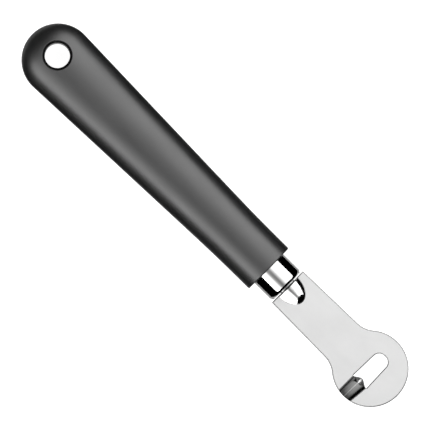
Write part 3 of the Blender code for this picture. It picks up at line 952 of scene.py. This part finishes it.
def make_pocket():
    """The pressed pocket: polished where it stands up, satin again where it runs into the sheet, with its
    colour darkened towards the foot as painted shade.
    """
    material, tree, shader = new_material("polished_pocket", (0.78, 0.78, 0.775), 0.08, 1.0)
    place = tree.nodes.new("ShaderNodeTexCoord")
    axes = tree.nodes.new("ShaderNodeSeparateXYZ")
    tree.links.new(place.outputs["Object"], axes.inputs["Vector"])
    height = axes.outputs["Z"]
    polished_z = SHEET_TOP_Z + POCKET_BLEND_HEIGHT
    roughness = remap(tree, height, 0.3, 0.08, SHEET_TOP_Z, polished_z)
    tree.links.new(roughness, shader.inputs["Roughness"])
    # Painted shade: the steel's colour goes from light on top to dark at the foot, where the pocket meets the
    # sheet
    painted_foot_shade = remap(tree, height, 0.3, 0.7, SHEET_TOP_Z, polished_z)
    vary_color(tree, shader, painted_foot_shade, (0.5, 0.5, 0.498), (0.8, 0.8, 0.795))
    marks = noise(tree, (3000, 3000, 3000), 3.0)
    waves = noise(tree, (900, 700, 700), 1.0)
    add_bump(tree, shader, waves, 0.8, 0.05 * MM)
    add_bump(tree, shader, marks, 0.08, 0.004 * MM)
    return material


# Stage

def plain_white(name, strength, reflectance):
    """A matte white that also glows evenly where its strength is over 0."""
    material, _, shader = new_material(name, (reflectance,) * 3, 0.9, 0.0)
    shader.inputs["Emission Color"].default_value = (1.0, 1.0, 1.0, 1.0)
    shader.inputs["Emission Strength"].default_value = strength
    shader.inputs["Specular IOR Level"].default_value = 0.0
    return material


def make_plane(name, low_x, high_x, half_width, material):
    """A level rectangle that isn't part of the object, at the height of the tool's underside."""
    z = cad_low.z
    corners = [(low_x, -half_width), (high_x, -half_width), (high_x, half_width), (low_x, half_width)]
    mesh = bmesh.new()
    mesh.faces.new([mesh.verts.new((x, y, z)) for x, y in corners])
    plane = make_piece(name, mesh, [material])
    return plane


def build_floor():
    """A pale light table. Only the strip next to the tool shows in its steel."""
    glow = plain_white("floor_glow", FLOOR_GLOW, FLOOR_REFLECTANCE)
    floor = make_plane("floor", -FLOOR_REACH, FLOOR_REACH, FLOOR_REACH, glow)
    floor.visible_glossy = False
    rear_x = MIDDLE.x - CARD_REACH
    front_x = MIDDLE.x + CARD_REACH
    white = plain_white("card_white", 0.0, CARD_REFLECTANCE)
    card = make_plane("mirror_card", rear_x, front_x, CARD_HALF_WIDTH, white)
    for ray in ("camera", "diffuse", "transmission", "volume_scatter", "shadow"):
        setattr(card, "visible_" + ray, False)


def far_from(tree, value, centre, inner, outer):
    """0 where the value is near the centre, rising smoothly to 1 further off."""
    off = calculate(tree, "SUBTRACT", value, centre)
    distance = calculate(tree, "ABSOLUTE", off, 0.0)
    return remap(tree, distance, 0.0, 1.0, inner, outer, "SMOOTHSTEP")


def tent_material():
    """Light that changes round the tent: two soft boxes with a dim gap between them."""
    material = bpy.data.materials.new("tent_light")
    material.use_nodes = True
    tree = material.node_tree
    tree.nodes.clear()
    place = tree.nodes.new("ShaderNodeNewGeometry")
    axes = tree.nodes.new("ShaderNodeSeparateXYZ")
    tree.links.new(place.outputs["Position"], axes.inputs["Vector"])
    turn = calculate(tree, "ARCTAN2", axes.outputs["Y"], axes.outputs["Z"])
    share = remap(tree, turn, 0.0, 1.0, -math.pi / 2, math.pi / 2)
    ramp = tree.nodes.new("ShaderNodeValToRGB")
    tree.links.new(share, ramp.inputs["Fac"])
    elements = ramp.color_ramp.elements
    while len(elements) > 1:
        elements.remove(elements[-1])
    gap_turn = far_from(tree, turn, GAP_TURN, 0.0, GAP_HALF_TURN)
    gap_x = far_from(tree, axes.outputs["X"], GAP_X, GAP_INNER, GAP_OUTER)
    outside = calculate(tree, "MAXIMUM", gap_turn, gap_x)
    gap = remap(tree, outside, GAP_LEVEL, 1.0, 0.0, 1.0)
    brightest = max(level for _, level in TENT_LEVELS)
    for k, (angle, level) in enumerate(TENT_LEVELS):
        position = angle / 180.0 + 0.5
        element = elements[0] if k == 0 else elements.new(position)
        element.position = position
        element.color = (level / brightest,) * 3 + (1.0,)
    glow = tree.nodes.new("ShaderNodeEmission")
    tree.links.new(calculate(tree, "MULTIPLY", gap, brightest), glow.inputs["Strength"])
    tree.links.new(ramp.outputs["Color"], glow.inputs["Color"])
    output = tree.nodes.new("ShaderNodeOutputMaterial")
    tree.links.new(glow.outputs["Emission"], output.inputs["Surface"])
    return material


def build_tent():
    """A half-round light tent over the tool, which the camera sees through."""
    mesh = bmesh.new()
    low_turn = math.radians(TENT_LEVELS[0][0])
    high_turn = math.radians(TENT_LEVELS[-1][0])
    edges = []
    for k in range(TENT_STEPS + 1):
        turn = low_turn + (high_turn - low_turn) * k / TENT_STEPS
        y = TENT_RADIUS * math.sin(turn)
        z = TENT_RADIUS * math.cos(turn)
        edges.append([mesh.verts.new((x, y, z)) for x in (-TENT_REAR, TENT_FRONT)])
    for (rear, front), (next_rear, next_front) in zip(edges, edges[1:]):
        mesh.faces.new((rear, front, next_front, next_rear))
    tent = make_piece("light_tent", mesh, [tent_material()])
    tent.visible_camera = False


def build_world():
    """A pale surround that lights the tool softly but doesn't show in its steel."""
    world = bpy.data.worlds.new("surround")
    world.use_nodes = True
    background = world.node_tree.nodes["Background"]
    background.inputs["Color"].default_value = (1.0, 1.0, 1.0, 1.0)
    background.inputs["Strength"].default_value = WORLD_STRENGTH
    world.cycles_visibility.glossy = False
    bpy.context.scene.world = world
    bpy.context.scene.view_settings.view_transform = "Standard"


def build_camera():
    """A long lens, straight above and tipped very slightly."""
    data = bpy.data.cameras.new("camera")
    data.lens = CAMERA_LENS
    data.sensor_width = CAMERA_SENSOR
    back = Vector((0.0, -math.sin(CAMERA_TILT), math.cos(CAMERA_TILT)))
    right = Vector((math.cos(CAMERA_TURN), math.sin(CAMERA_TURN), 0.0))
    right = (right - back * right.dot(back)).normalized()
    up = back.cross(right)
    distance = FRAME_WIDTH * CAMERA_LENS / CAMERA_SENSOR
    data.clip_end = CAMERA_CLIP * distance
    camera = bpy.data.objects.new("camera", data)
    bpy.context.scene.collection.objects.link(camera)
    aim = MIDDLE + AIM_OFFSET + back * distance
    camera.matrix_world = Matrix.Translation(aim) @ Matrix((right, up, back)).transposed().to_4x4()
    bpy.context.scene.camera = camera


build_camera()
build_world()
build_floor()
build_tent()
build_handle()
build_ferrule()
build_shank()
build_blade()
